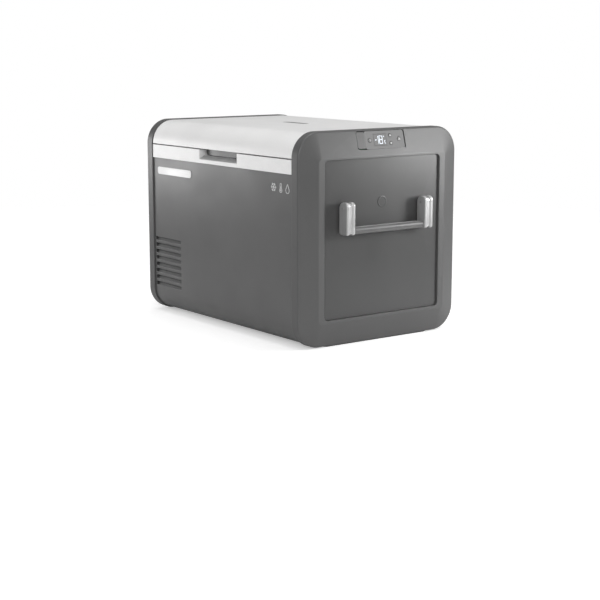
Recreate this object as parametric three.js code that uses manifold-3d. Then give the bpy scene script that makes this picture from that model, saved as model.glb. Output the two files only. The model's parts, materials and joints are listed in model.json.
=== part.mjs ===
// Compressor cooler fridge, 55 litre class, as an assembly of separate solids.
// Millimetres, +Z up. The origin is on the floor, under the middle of the cabinet.
// +X points to the display end, -X to the compressor end, -Y to the user (latch side).
import * as THREE from "three";
import { mergeVertices } from "three/addons/utils/BufferGeometryUtils.js";
import Module from "manifold-3d";

const wasm = await Module();
wasm.setup();

// ---------- driving dimensions ----------
const HEIGHT = 480; // floor to the top of the end frames
const DEPTH = 455; // front to back over the end frames
const FRAME_OUT = 317; // end frames: outer edge of the side band, from the middle
const FRAME_IN = 293; // end frames: inner edge of the side band
const BEVEL_OUT = 333; // end frames: crest of the bevel
const HANDLE_FRONT = 360; // handle arms: front face, half the overall length
const FOOT_HALF = 150; // half length of the foot strips
const FOOT_DROP = 2; // the feet stand this far below the end frames
const CORNER = 58; // corner radius of the end frames
const GAP = 0.3; // clearance between pieces that touch

const SHELL_INSET = 4; // cabinet wall behind the frame outline
const SHELL_WALL = 3;
const COLLAR_INSET = 2; // collar and lid behind the frame outline
const COLLAR_Z0 = 387.8;
const COLLAR_Z1 = 419.6;
const LID_Z0 = 422.2; // lower rim of the lid
const LID_TOP = 478;
const LID_HALF = 291.5; // half length of the lid, 1.5 clear of the end frames
const LID_WALL = 3;
const LID_PLATE_Z = 426.5; // underside of the lid's inner plate

const TUB_X = 252; // compartment, half length
const TUB_Y = 166; // compartment, half width
const TUB_FLOOR = 50;
const TUB_WALL = 2.5;
const TUB_CORNER = 25;
const STEP_X = -120; // the floor steps up over the compressor on the -X side of this
const STEP_FLOOR = 232;
const BAY_X = -153; // compressor bay: from the left frame to here
const BAY_TOP = 188;

const WINDOW = { y: 166.5, z0: 63, z1: 417.7, r: 10 }; // opening of an end frame
const CREST = { y: 182.5, z0: 56, z1: 422, r: 10 }; // where the bevel ends
const PANEL_FACE = 327.5; // outer face of the end panels
const PANEL_THICK = 3;

const PIVOT = { x: 344.5, z: 311 }; // handle pivot
const ARM = { y: 113, width: 24, back: 14.5, z0: 253 }; // handle arm
const LUG_WIDTH = 9;
const CHEEK_SLOT = 16; // clear width between the cheeks of an arm
const PIN_R = 3;
const ROD = { x: 346, z: 261.5, r: 5 }; // handle rod inside the grip

const HINGE = { x: 190, y: 223.5, z: 421, r: 4 }; // lid hinge axis and knuckles
const LATCH = { y: -206, z: 430, half: 71 }; // latch paddle pivot and half width
const STRIKE = { y: -198.5, z: 412 }; // bar that the latch claw hooks under
const RECESS_HALF = 79.5;
const SLOT = { n: 8, pitch: 16.3, z0: 72, high: 8, x0: -289, x1: -171 }; // side vents
const DRAIN = { x: 205, r: 12 };

// ---------- solids ----------
const V = (x, y, z) => new THREE.Vector3(x, y, z);

// A closed three.js geometry as a manifold solid, optionally moved by a matrix.
function solid(geometry, matrix = new THREE.Matrix4()) {
  const bare = new THREE.BufferGeometry();
  bare.setAttribute("position", geometry.getAttribute("position").clone());
  if (geometry.index) bare.setIndex(geometry.index);
  const merged = mergeVertices(bare.applyMatrix4(matrix), 1e-4);
  return new wasm.Manifold(
    new wasm.Mesh({
      numProp: 3,
      vertProperties: merged.attributes.position.array,
      triVerts: new Uint32Array(merged.index.array),
    }),
  );
}

// A manifold solid back as a three.js geometry.
function geometryOf(body) {
  const made = body.getMesh();
  const g = new THREE.BufferGeometry();
  g.setAttribute("position", new THREE.BufferAttribute(made.vertProperties, 3));
  g.setIndex(new THREE.BufferAttribute(made.triVerts, 1));
  g.computeVertexNormals();
  return g;
}

const move = (x, y, z) => new THREE.Matrix4().makeTranslation(x, y, z);

function box(x0, x1, y0, y1, z0, z1) {
  const g = new THREE.BoxGeometry(x1 - x0, y1 - y0, z1 - z0);
  return solid(g, move((x0 + x1) / 2, (y0 + y1) / 2, (z0 + z1) / 2));
}

// A cylinder centred on a point, along "x", "y" or "z".
function rod(axis, r, length, at, sides = 20) {
  const g = new THREE.CylinderGeometry(r, r, length, sides);
  if (axis === "x") g.rotateZ(-Math.PI / 2);
  if (axis === "z") g.rotateX(Math.PI / 2);
  return solid(g, move(...at));
}

// Shapes drawn as (y, z) and extruded along X, or as (x, z) and extruded along Y.
const ALONG_X = new THREE.Matrix4().makeBasis(V(0, 1, 0), V(0, 0, 1), V(1, 0, 0));
const ALONG_Y = new THREE.Matrix4().makeBasis(V(1, 0, 0), V(0, 0, 1), V(0, -1, 0));

function extrude(shape, depth, steps = 8) {
  return new THREE.ExtrudeGeometry(shape, { depth, bevelEnabled: false, curveSegments: steps });
}
const extrudeX = (shape, x0, x1, steps) =>
  solid(extrude(shape, x1 - x0, steps), move(x0, 0, 0).multiply(ALONG_X));
const extrudeY = (shape, y0, y1, steps) =>
  solid(extrude(shape, y1 - y0, steps), move(0, y1, 0).multiply(ALONG_Y));
const extrudeZ = (shape, z0, z1, steps) => solid(extrude(shape, z1 - z0, steps), move(0, 0, z0));

function roundRect(a0, a1, b0, b1, r) {
  const s = new THREE.Shape();
  s.moveTo(a0 + r, b0);
  s.lineTo(a1 - r, b0);
  s.absarc(a1 - r, b0 + r, r, -Math.PI / 2, 0);
  s.lineTo(a1, b1 - r);
  s.absarc(a1 - r, b1 - r, r, 0, Math.PI / 2);
  s.lineTo(a0 + r, b1);
  s.absarc(a0 + r, b1 - r, r, Math.PI / 2, Math.PI);
  s.lineTo(a0, b0 + r);
  s.absarc(a0 + r, b0 + r, r, Math.PI, 1.5 * Math.PI);
  return s;
}

function polygon(points) {
  return new THREE.Shape(points.map(([a, b]) => new THREE.Vector2(a, b)));
}

// A plate in the XY plane with a rounded outline, from the middle out.
const slab = (x, y, r, z0, z1) => extrudeZ(roundRect(-x, x, -y, y, r), z0, z1, 6);

// A tube of n sides along a smooth curve through points.
function tube(points, r, steps, sides = 8, tension = 0.5) {
  const path = new THREE.CatmullRomCurve3(points, false, "catmullrom", tension);
  const section = new THREE.Shape();
  section.absarc(0, 0, r, 0, 2 * Math.PI);
  return new THREE.ExtrudeGeometry(section, {
    steps,
    extrudePath: path,
    curveSegments: sides / 2,
    bevelEnabled: false,
  });
}

// A closed band whose section runs through the given rounded rectangles in the YZ plane.
function band(rings, cornerSteps = 8) {
  const points = [];
  for (const { x, y, z0, z1, r } of rings) {
    const centres = [
      [y - r, z0 + r, -Math.PI / 2],
      [y - r, z1 - r, 0],
      [-y + r, z1 - r, Math.PI / 2],
      [-y + r, z0 + r, Math.PI],
    ];
    for (const [cy, cz, start] of centres)
      for (let i = 0; i <= cornerSteps; i++) {
        const a = start + (i / cornerSteps) * (Math.PI / 2);
        points.push(x, cy + r * Math.cos(a), cz + r * Math.sin(a));
      }
  }
  const n = 4 * (cornerSteps + 1);
  const index = [];
  rings.forEach((_, k) => {
    const next = (k + 1) % rings.length;
    for (let i = 0; i < n; i++) {
      const j = (i + 1) % n;
      index.push(k * n + i, k * n + j, next * n + j, k * n + i, next * n + j, next * n + i);
    }
  });
  const g = new THREE.BufferGeometry();
  g.setAttribute("position", new THREE.Float32BufferAttribute(points, 3));
  g.setIndex(index);
  return solid(g);
}

const outline = (x, inset) => ({
  x,
  y: DEPTH / 2 - inset,
  z0: FOOT_DROP + inset,
  z1: HEIGHT - inset,
  r: CORNER - inset,
});

// ---------- materials ----------
function material(color, roughness, metalness = 0, more = {}) {
  return new THREE.MeshStandardMaterial({ color, roughness, metalness, ...more });
}
const MAT = {
  slate: material(0x55585b, 0.55),
  frame: material(0x4e5154, 0.6),
  panel: material(0x585b5e, 0.5),
  light: material(0xdcdddd, 0.45),
  liner: material(0xe6e8e9, 0.4),
  foam: material(0xe3d9b4, 0.9),
  alloy: material(0xc4c6c8, 0.35, 0.9),
  grip: material(0x4a4c4e, 0.7),
  rubber: material(0x1b1c1d, 0.85),
  gloss: material(0x16181a, 0.15),
  glass: material(0x0a0d10, 0.08),
  button: material(0x2a2c2e, 0.4),
  board: material(0x1f5a35, 0.6),
  steel: material(0xaeb1b4, 0.35, 1),
  black: material(0x202224, 0.5),
  copper: material(0xb87345, 0.35, 1),
  fins: material(0xc9cccf, 0.4, 0.9),
  wire: material(0xb9bcbe, 0.4, 0.6),
  lamp: material(0xf3f6f8, 0.3),
};

function part(name, body, mat) {
  const mesh = new THREE.Mesh(body.isBufferGeometry ? body : geometryOf(body), mat);
  mesh.name = name;
  return mesh;
}

// ---------- cabinet ----------
// The U-shaped outer wall: front, rounded bottom and back in one sheet, with vents.
function cabinetShell() {
  const y = DEPTH / 2 - SHELL_INSET;
  const z0 = FOOT_DROP + SHELL_INSET - 1;
  const r = CORNER - SHELL_INSET;
  const top = COLLAR_Z0 - GAP;
  const s = new THREE.Shape();
  s.moveTo(-y, top);
  s.lineTo(-y, z0 + r);
  s.absarc(-y + r, z0 + r, r, Math.PI, 1.5 * Math.PI);
  s.lineTo(y - r, z0);
  s.absarc(y - r, z0 + r, r, -Math.PI / 2, 0);
  s.lineTo(y, top);
  s.lineTo(y - SHELL_WALL, top);
  s.absarc(y - r, z0 + r, r - SHELL_WALL, 0, -Math.PI / 2, true);
  s.absarc(-y + r, z0 + r, r - SHELL_WALL, 1.5 * Math.PI, Math.PI, true);
  s.lineTo(-y + SHELL_WALL, top);
  let body = extrudeX(s, -FRAME_IN + GAP, FRAME_IN - GAP, 10);
  for (let i = 0; i < SLOT.n; i++) {
    const z = SLOT.z0 + i * SLOT.pitch;
    const cut = box(SLOT.x0, SLOT.x1, -y - 5, y + 5, z - SLOT.high / 2, z + SLOT.high / 2);
    body = body.subtract(cut);
  }
  return body.subtract(rod("z", DRAIN.r, 20, [DRAIN.x, 0, z0]));
}

// The light rim round the mouth, with the finger recess and the seats of the hinges.
function rim() {
  const x = FRAME_IN - GAP;
  const y = DEPTH / 2 - COLLAR_INSET;
  const mouth = 0.5;
  let body = box(-x, x, -y, y, COLLAR_Z0, COLLAR_Z1)
    .subtract(
      slab(TUB_X + TUB_WALL + mouth, TUB_Y + TUB_WALL + mouth, TUB_CORNER + 3, 380, 425),
    )
    .subtract(slab(TUB_X + 6.4, TUB_Y + 6.4, TUB_CORNER + 6.4, COLLAR_Z1 - 4, 425));
  const scoop = polygon([
    [-y - 1, 396],
    [-210, 405.5],
    [-186, 405.5],
    [-186, 425],
    [-y - 1, 425],
  ]);
  body = body.subtract(extrudeX(scoop, -RECESS_HALF, RECESS_HALF));
  for (const side of [-1, 1]) {
    const at = side * HINGE.x;
    body = body.subtract(box(at - 31, at + 31, 215.5, y + 5, 402.5, 425));
  }
  return body;
}

// The rim comes in two mouldings: the collar, and the tray under the latch.
const topCollar = () => rim().subtract(box(-RECESS_HALF, RECESS_HALF, -300, -150, 380, 430));
const latchReceiver = () =>
  rim().intersect(box(GAP - RECESS_HALF, RECESS_HALF - GAP, -300, -150, 380, 430));

// The inside tub: a deep well and a raised floor over the compressor bay.
function innerLiner() {
  const top = COLLAR_Z1;
  const wellShape = (grow) =>
    roundRect(STEP_X - grow, TUB_X + grow, -TUB_Y - grow, TUB_Y + grow, TUB_CORNER + grow);
  const outer = slab(TUB_X + TUB_WALL, TUB_Y + TUB_WALL, TUB_CORNER + TUB_WALL, STEP_FLOOR - TUB_WALL, top)
    .add(extrudeZ(wellShape(TUB_WALL), TUB_FLOOR - TUB_WALL, STEP_FLOOR, 6))
    .add(slab(TUB_X + 6, TUB_Y + 6, TUB_CORNER + 6, top - 3.6, top));
  const inner = slab(TUB_X, TUB_Y, TUB_CORNER, STEP_FLOOR, top + 5).add(
    extrudeZ(wellShape(0), TUB_FLOOR, STEP_FLOOR + 5, 6),
  );
  return outer.subtract(inner).subtract(rod("z", DRAIN.r, 20, [DRAIN.x, 0, TUB_FLOOR]));
}

// Insulation between the outer wall and the tub, with a pocket for the cooling coil.
function cabinetFoam() {
  const y = DEPTH / 2 - SHELL_INSET - SHELL_WALL - GAP;
  const z0 = FOOT_DROP + SHELL_INSET + SHELL_WALL;
  const x = FRAME_IN - 2;
  const clear = TUB_WALL + GAP;
  const pocket = 13;
  return extrudeX(roundRect(-y, y, z0, z0 + 460, CORNER - SHELL_INSET - SHELL_WALL), -x, x, 8)
    .subtract(box(-400, 400, -300, 300, COLLAR_Z0 - 1, 600))
    .add(box(x - 1, 318, -190, 190, 70, COLLAR_Z0 - 1))
    .subtract(box(-300, BAY_X, -300, 300, 0, BAY_TOP))
    .subtract(slab(TUB_X + clear, TUB_Y + clear, TUB_CORNER + clear, STEP_FLOOR - clear, 500))
    .subtract(box(STEP_X - clear, TUB_X + clear, -TUB_Y - clear, TUB_Y + clear, TUB_FLOOR - clear, 300))
    .subtract(box(STEP_X - pocket, TUB_X + pocket, -TUB_Y - pocket, TUB_Y + pocket, 70, 200))
    .subtract(box(BAY_X - 5, STEP_X, -45, -4, 166, 184))
    .subtract(rod("z", DRAIN.r, 60, [DRAIN.x, 0, 30]));
}

// A blank badge in the front wall.
function frontBadge() {
  const y = -(DEPTH / 2 - SHELL_INSET);
  return extrudeY(roundRect(-272, -118, 348, 366, 6), y - 1.2, y - GAP, 5);
}

function footStrip() {
  return extrudeZ(roundRect(296, 314, -FOOT_HALF, FOOT_HALF, 8), 0, 6, 4);
}

// ---------- end frames and panels (drawn for the +X end) ----------
const DISPLAY_TILT = Math.atan2(BEVEL_OUT - FRAME_OUT, HEIGHT - CREST.z1);
const DISPLAY_MID = { x: 323.5, z: 456.5 };
// Display coordinates: first along +Y, second up the bevel, third out of it.
const displayBasis = () =>
  new THREE.Matrix4()
    .makeBasis(
      V(0, 1, 0),
      V(-Math.sin(DISPLAY_TILT), 0, Math.cos(DISPLAY_TILT)),
      V(Math.cos(DISPLAY_TILT), 0, Math.sin(DISPLAY_TILT)),
    )
    .setPosition(DISPLAY_MID.x, 0, DISPLAY_MID.z);

function endFrame(hasDisplay) {
  let body = band([
    outline(FRAME_IN, 0),
    outline(FRAME_OUT, 0),
    { x: BEVEL_OUT, ...CREST },
    { x: BEVEL_OUT, ...WINDOW },
    { x: PANEL_FACE - PANEL_THICK - 3, ...WINDOW },
    { x: PANEL_FACE - PANEL_THICK - 3, y: 193.5, z0: 38, z1: 444, r: 30 },
    outline(FRAME_IN + 16, 10),
    outline(FRAME_IN, 10),
  ]);
  const socket = roundRect(296 - GAP, 314 + GAP, -FOOT_HALF - GAP, FOOT_HALF + GAP, 8);
  body = body.subtract(extrudeZ(socket, -1, 6 + GAP, 4));
  if (hasDisplay) {
    const pocket = extrude(roundRect(-70.3, 68.4, -21, 21, 5), 16, 4);
    body = body.subtract(solid(pocket, displayBasis().multiply(move(0, 0, -9))));
  }
  return body;
}

function endPanel(vented) {
  const w = WINDOW;
  const x0 = PANEL_FACE - PANEL_THICK;
  const shape = roundRect(-w.y + GAP, w.y - GAP, w.z0 + GAP, w.z1 - GAP, w.r - GAP);
  let body = extrudeX(shape, x0, PANEL_FACE, 5);
  for (const side of [-1, 1]) {
    const y = side * ARM.y;
    const half = LUG_WIDTH / 2 + 0.5;
    body = body.subtract(box(x0 - 1, PANEL_FACE + 1, y - half, y + half, 280, 316));
  }
  if (vented) {
    for (let i = 0; i < 6; i++) {
      const z = 150 + i * 14;
      body = body.subtract(box(x0 - 1, PANEL_FACE + 1, -75, 75, z - 3.5, z + 3.5));
    }
    body = body.subtract(box(x0 - 1, PANEL_FACE + 1, 40.7, 119.3, 84.7, 125.3));
  }
  return body;
}

// ---------- handles (drawn for the +X end) ----------
// Fixed bracket: a plate behind the panel with a lug for each arm.
function handleBracket() {
  const x0 = 319.5;
  let body = box(x0, PANEL_FACE - PANEL_THICK - GAP, -130, 130, 270, 322);
  const nose = 8;
  for (const side of [-1, 1]) {
    const y = side * ARM.y;
    const stem = polygon([
      [x0 + 1, 282],
      [PIVOT.x + 2, PIVOT.z - nose + 0.3],
      [PIVOT.x - 5.5, PIVOT.z + 5.6],
      [x0 + 1, 300],
    ]);
    body = body
      .add(extrudeY(stem, y - LUG_WIDTH / 2, y + LUG_WIDTH / 2))
      .add(rod("y", nose, LUG_WIDTH, [PIVOT.x, y, PIVOT.z]))
      .subtract(rod("y", PIN_R + GAP, 40, [PIVOT.x, y, PIVOT.z], 16));
  }
  return body;
}

// The swinging bail: two channel arms and the rod that carries the grip.
function handleBail() {
  const top = PIVOT.z + ARM.back;
  const back = PIVOT.x - ARM.back;
  const s = new THREE.Shape();
  s.moveTo(back + 6, ARM.z0);
  s.lineTo(HANDLE_FRONT - 5, ARM.z0);
  s.absarc(HANDLE_FRONT - 5, ARM.z0 + 5, 5, -Math.PI / 2, 0);
  s.lineTo(HANDLE_FRONT, top - 9);
  s.absarc(HANDLE_FRONT - 9, top - 9, 9, 0, Math.PI / 2);
  s.lineTo(PIVOT.x, top);
  s.absarc(PIVOT.x, PIVOT.z, ARM.back, Math.PI / 2, Math.PI);
  s.lineTo(back, ARM.z0 + 6);
  s.absarc(back + 6, ARM.z0 + 6, 6, Math.PI, 1.5 * Math.PI);
  let body = rod("y", ROD.r, 2 * ARM.y, [ROD.x, 0, ROD.z], 16);
  for (const side of [-1, 1]) {
    const y = side * ARM.y;
    const slotHalf = CHEEK_SLOT / 2;
    const arm = extrudeY(s, y - ARM.width / 2, y + ARM.width / 2, 6)
      .subtract(box(300, HANDLE_FRONT - 5, y - slotHalf, y + slotHalf, 273, top - 4.5))
      .subtract(box(300, PIVOT.x + 1, y - slotHalf, y + slotHalf, 273, top + 5))
      .subtract(box(HANDLE_FRONT - 1.5, HANDLE_FRONT + 1, y - 3, y + 3, 259, 316))
      .subtract(rod("y", PIN_R + GAP, 40, [PIVOT.x, y, PIVOT.z], 16));
    body = body.add(arm);
  }
  return body;
}

function handleGrip() {
  const half = ARM.y - ARM.width / 2 - GAP;
  return extrudeY(roundRect(335, 357, 253.8, 269.4, 7), -half, half, 5).subtract(
    rod("y", ROD.r + GAP, 300, [ROD.x, 0, ROD.z], 16),
  );
}

// A coil of round wire about the Y axis, one end bent off along +Z.
function coilSpring(radius, wire, turns, pitch) {
  const perTurn = 10;
  const points = [];
  for (let i = 0; i <= turns * perTurn; i++) {
    const a = (i / perTurn) * 2 * Math.PI;
    points.push(V(radius * Math.cos(a), (i / perTurn) * pitch, radius * Math.sin(a)));
  }
  const last = points.at(-1);
  points.push(V(last.x, last.y, 7.5));
  return tube(points, wire, Math.round(turns * perTurn) + 2, 6);
}

function handle(side) {
  const group = new THREE.Group();
  group.add(part("handle_bail_" + side, handleBail(), MAT.alloy));
  group.add(part("handle_grip_" + side, handleGrip(), MAT.grip));
  for (const [end, y] of [["front", -ARM.y], ["rear", ARM.y]]) {
    // The -X end is turned half round, so its front and rear change places.
    const place = side === "left" ? (end === "front" ? "rear" : "front") : end;
    const pin = part("handle_pin_" + side + "_" + place, rod("y", PIN_R, ARM.width, [0, 0, 0], 16), MAT.steel);
    pin.position.set(PIVOT.x, y, PIVOT.z);
    group.add(pin);
  }
  return group;
}

function endAssembly(side) {
  const right = side === "right";
  const group = new THREE.Group();
  group.add(part("end_frame_" + side, endFrame(right), MAT.frame));
  group.add(part("end_panel_" + side, endPanel(!right), MAT.panel));
  group.add(part("handle_bracket_" + side, handleBracket(), MAT.black));
  group.add(handle(side));
  group.add(part("foot_strip_" + side, footStrip(), MAT.rubber));
  const spring = part("handle_spring_" + side, coilSpring(4.4, 0.5, 1.4, 1.2), MAT.steel);
  spring.position.set(PIVOT.x, -ARM.y + LUG_WIDTH / 2 + 0.7, PIVOT.z);
  spring.rotation.y = Math.PI;
  group.add(spring);
  if (!right) group.rotation.z = Math.PI;
  return group;
}

// ---------- display ----------
const BUTTONS = [
  ["power_button", -32.7, 0, 5],
  ["up_button", 27.5, 9, 4.4],
  ["down_button", 27.5, -9, 4.4],
  ["set_button", 52, 0, 5],
];
const SCREEN = { u0: -20.5, u1: 15.5, v: 13 };

// A flap over the charging port, its underside cut back along the hinge edge.
function usbCover() {
  const u = -69.8;
  const relief = polygon([
    [u - 1, -4],
    [u + 3.8, -4],
    [u, -0.2],
    [u - 1, -0.2],
  ]);
  return extrudeZ(roundRect(u, -46.4, -18.6, 18.6, 4.6), -2.6, -0.2, 4).subtract(
    extrudeY(relief, -30, 30),
  );
}

function displayAssembly() {
  const group = new THREE.Group();
  group.applyMatrix4(displayBasis());
  let plate = extrudeZ(roundRect(-46, 68, -20.6, 20.6, 4.6), -5, -2, 4).subtract(
    box(SCREEN.u0 - GAP, SCREEN.u1 + GAP, -SCREEN.v - GAP, SCREEN.v + GAP, -4, 0),
  );
  for (const [name, u, v, r] of BUTTONS) {
    plate = plate.subtract(rod("z", r + GAP, 20, [u, v, -4]));
    const button = part(name, rod("z", r, 3.8, [0, 0, 0]), MAT.button);
    button.position.set(u, v, -3.3);
    group.add(button);
  }
  group.add(part("display_panel", plate, MAT.gloss));
  const glass = box(SCREEN.u0, SCREEN.u1, -SCREEN.v, SCREEN.v, -3.7, -2);
  group.add(part("display_screen", glass, MAT.glass));
  const board = box(-64, 66, -19, 19, -8, -6.7)
    .add(box(-62, -54, -7, 7, -7, -3.4))
    .subtract(box(-59.5, -56.5, -5.5, 5.5, -6, 0));
  group.add(part("display_board", board, MAT.board));
  group.add(part("usb_cover", usbCover(), MAT.rubber));
  return group;
}

// ---------- lid ----------
function lidSection(inset, z0) {
  const y = DEPTH / 2 - COLLAR_INSET - inset;
  const r = LID_TOP - 422;
  const s = new THREE.Shape();
  s.moveTo(-y, z0);
  s.lineTo(y, z0);
  s.lineTo(y, 422 + 4);
  s.absarc(y + inset - r, LID_TOP - r, r - inset, 0.08, Math.PI / 2);
  s.absarc(-y - inset + r, LID_TOP - r, r - inset, Math.PI / 2, Math.PI - 0.08);
  s.lineTo(-y, 422 + 4);
  return s;
}

const latchPocket = () => box(-RECESS_HALF, RECESS_HALF, -218, -184, 415, 441);

function lidShell() {
  return extrudeX(lidSection(0, LID_Z0), -LID_HALF, LID_HALF, 10)
    .subtract(
      extrudeX(lidSection(LID_WALL, LID_Z0 - 5), -LID_HALF + LID_WALL, LID_HALF - LID_WALL, 10),
    )
    .subtract(box(-300, 300, 200, 240, 400, 426))
    .subtract(extrudeZ(roundRect(-54, 40, -6, 16, 11), LID_TOP - 0.8, LID_TOP + 1, 5));
}

// The lid's inner plate, with the plug that drops into the mouth of the tub.
function lidLiner() {
  const x = LID_HALF - LID_WALL - GAP;
  const y = DEPTH / 2 - COLLAR_INSET - LID_WALL - 1;
  const z = LID_PLATE_Z;
  let body = box(-x, x, -y, y, z, z + 2.5)
    .add(slab(TUB_X - 4, TUB_Y - 4, TUB_CORNER - 4, 406, z + 1))
    .subtract(slab(TUB_X - 6.5, TUB_Y - 6.5, TUB_CORNER - 6.5, 408.5, z + 5))
    .subtract(box(-73, 73, -214, -185.5, 415, z + 9));
  for (const side of [-1, 1]) {
    body = body.add(box(side * 76 - 2.5, side * 76 + 2.5, -211, -201, z + 1, LATCH.z + 5));
    const at = side * HINGE.x;
    body = body.subtract(box(at - 12.5, at + 12.5, 217.5, 230, z - 2, z + 5));
  }
  return body.subtract(rod("x", 1.5 + GAP, 200, [0, LATCH.y, LATCH.z], 12));
}

function lidFoam() {
  const grow = LID_WALL + GAP;
  const z = LID_PLATE_Z + 2.5 + GAP;
  let body = extrudeX(lidSection(grow, 424), -LID_HALF + grow, LID_HALF - grow, 8)
    .subtract(box(-300, 300, -300, 300, 400, z))
    .add(slab(TUB_X - 7, TUB_Y - 7, TUB_CORNER - 7, 409, z + 1))
    .subtract(latchPocket());
  for (const side of [-1, 1]) {
    const at = side * HINGE.x;
    body = body.subtract(box(at - 13, at + 13, 217, 230, 420, 442));
  }
  return body;
}

function lidGasket() {
  const z0 = COLLAR_Z1 + GAP;
  const z1 = LID_PLATE_Z - GAP;
  return slab(TUB_X + 17.5, TUB_Y + 17.5, 40, z0, z1).subtract(
    slab(TUB_X + 8.5, TUB_Y + 8.5, 31, z0 - 1, z1 + 1),
  );
}

// ---------- hinges: a fixed leaf on the collar, a leaf on the lid and a pin ----------
function hingeBase() {
  let body = box(-30, 30, 216, 222.6, 403, 416.5);
  for (const side of [-1, 1]) {
    const x = side * 21;
    body = body
      .add(box(x - 9, x + 9, 219.5, 227.2, 412, 421))
      .add(rod("x", HINGE.r, 18, [x, HINGE.y, HINGE.z]));
  }
  return body.subtract(rod("x", 1.5 + GAP, 100, [0, HINGE.y, HINGE.z], 12));
}

function hingeLeaf() {
  return box(-11.5, 11.5, 218.2, 220.8, 421, 434)
    .add(rod("x", HINGE.r, 23, [0, HINGE.y, HINGE.z]))
    .subtract(rod("x", 1.5 + GAP, 100, [0, HINGE.y, HINGE.z], 12));
}

function hinge(side, x) {
  const group = new THREE.Group();
  group.add(part("hinge_base_" + side, hingeBase(), MAT.black));
  group.add(part("hinge_leaf_" + side, hingeLeaf(), MAT.black));
  group.add(part("hinge_pin_" + side, rod("x", 1.5, 60, [0, HINGE.y, HINGE.z], 12), MAT.steel));
  group.position.x = x;
  return group;
}

// ---------- latch ----------
// Pushed in, the paddle swings its claw clear of the strike bar.
function latchPaddle() {
  const { y, z, half } = LATCH;
  const face = roundRect(-half, half, 407, z + 20, 7);
  return extrudeY(face, y - 4, y - 1, 4)
    .subtract(box(-100, 100, y - 10, y + 10, z, z + 30))
    .add(rod("x", 4, 2 * half, [0, y, z]))
    .subtract(box(19, 29, y - 10, y + 10, z - 5, z + 10))
    .subtract(rod("x", 1.5 + GAP, 200, [0, y, z], 12));
}

function latchClaw() {
  const { y } = LATCH;
  return box(-8, 8, y - 1 + GAP, y + 12.5, 416.5, 419.5)
    .add(box(-8, 8, y - 1 + GAP, y + 1, 414.5, 419))
    .add(box(-8, 8, y + 10, y + 12.5, 408, 419))
    .add(box(-8, 8, y + 6, y + 12.5, 408, STRIKE.z - 2.4));
}

function latchStrike() {
  const { y, z } = STRIKE;
  let body = box(-20, 20, y - 2, y + 2, 405.8, 407.2).add(rod("x", 1.5, 27, [0, y, z], 12));
  for (const x of [-12, 12]) body = body.add(rod("z", 1.5, z - 406.5, [x, y, (z + 406.5) / 2], 12));
  return body;
}

function latchSpring() {
  const g = coilSpring(2.9, 0.5, 4, 1.4);
  g.rotateZ(-Math.PI / 2);
  return g;
}

// ---------- inside the tub ----------
function wireBasket() {
  const x0 = STEP_X + 6;
  const x1 = TUB_X - 6;
  const y = TUB_Y - 6;
  const z0 = 58.5;
  const z1 = 396;
  const wire = 3;
  const ring = (z, t) =>
    extrudeZ(roundRect(x0, x1, -y, y, 20), z, z + t, 3).subtract(
      extrudeZ(roundRect(x0 + t, x1 - t, -y + t, y - t, 20 - t), z - 1, z + t + 1, 3),
    );
  // Uprights stand just inside the rings, cross wires a little above the lowest ring.
  const lap = 0.6;
  const low = z0 + lap;
  const parts = [ring(z1 - 5, 5), ring(z0, wire), ring(226, wire)];
  for (const at of [-96, 0, 96]) {
    parts.push(box(x0 + lap, x1 - lap, at - 1.2, at + 1.2, low, low + 2));
    for (const x of [x0 + lap, x1 - lap - wire])
      parts.push(box(x, x + wire, at - 1.5, at + 1.5, low - 0.3, z1 - 1));
  }
  for (const x of [-62, 20, 102, 184]) {
    parts.push(box(x - 1.2, x + 1.2, -y + lap, y - lap, low + 1.4, low + 3.4));
    for (const at of [-y + lap, y - lap - wire])
      parts.push(box(x - 1.5, x + 1.5, at, at + wire, low - 0.3, z1 - 1));
  }
  for (const x of [-62, 184])
    for (const at of [-96, 96])
      parts.push(box(x - 3, x + 3, at - 3, at + 3, TUB_FLOOR + GAP, low + 1));
  return parts.reduce((sum, next) => sum.add(next));
}

function drainPlug() {
  const profile = [[0, 12], [DRAIN.r - 1, 12], [DRAIN.r - 0.6, 50.3], [17, 50.3], [17, 53], [15.5, 54], [0, 54]];
  const lathe = new THREE.LatheGeometry(profile.map(([r, z]) => new THREE.Vector2(r, z)), 20);
  lathe.rotateX(Math.PI / 2);
  return solid(lathe).add(box(-13, 13, -2, 2, 53.5, 57));
}

// ---------- cooling system ----------
function compressor() {
  const profile = [[0, 26], [40, 26], [46, 30], [52, 52], [53, 95], [50, 120], [38, 138], [20, 146], [0, 148]];
  const lathe = new THREE.LatheGeometry(profile.map(([r, z]) => new THREE.Vector2(r, z)), 24);
  lathe.rotateX(Math.PI / 2);
  let body = solid(lathe).add(box(-58, 58, -46, 46, 20, 30));
  body = body.add(rod("z", 3.5, 30, [30, 20, 145], 8)).add(rod("z", 3, 26, [-28, 18, 145], 8));
  return body.add(box(-24, 24, -60, -40, 70, 112));
}

function compressorTray() {
  let body = box(-288, BAY_X - 3, -170, 170, 8.3, 10.8);
  for (const x of [-47, 47])
    for (const y of [-36, 36]) body = body.add(rod("z", 8, 9.4, [-222 + x, -60 + y, 15], 12));
  return body;
}

function condenser() {
  const y0 = -212;
  let body = box(-286, -284.5, y0, y0 + 31.7, 46, 172);
  for (let i = 1; i <= 8; i++) {
    const x = -286 + i * 15.8;
    body = body.add(box(x, x + 1.5, y0, y0 + 31.7, 46, 172));
  }
  for (let i = 0; i < 4; i++) body = body.add(rod("x", 4, 128, [-221.5, y0 + 16, 58 + i * 33], 6));
  return body;
}

const FAN = { x: -222, y: -168, z: 100, r: 54 };

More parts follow.
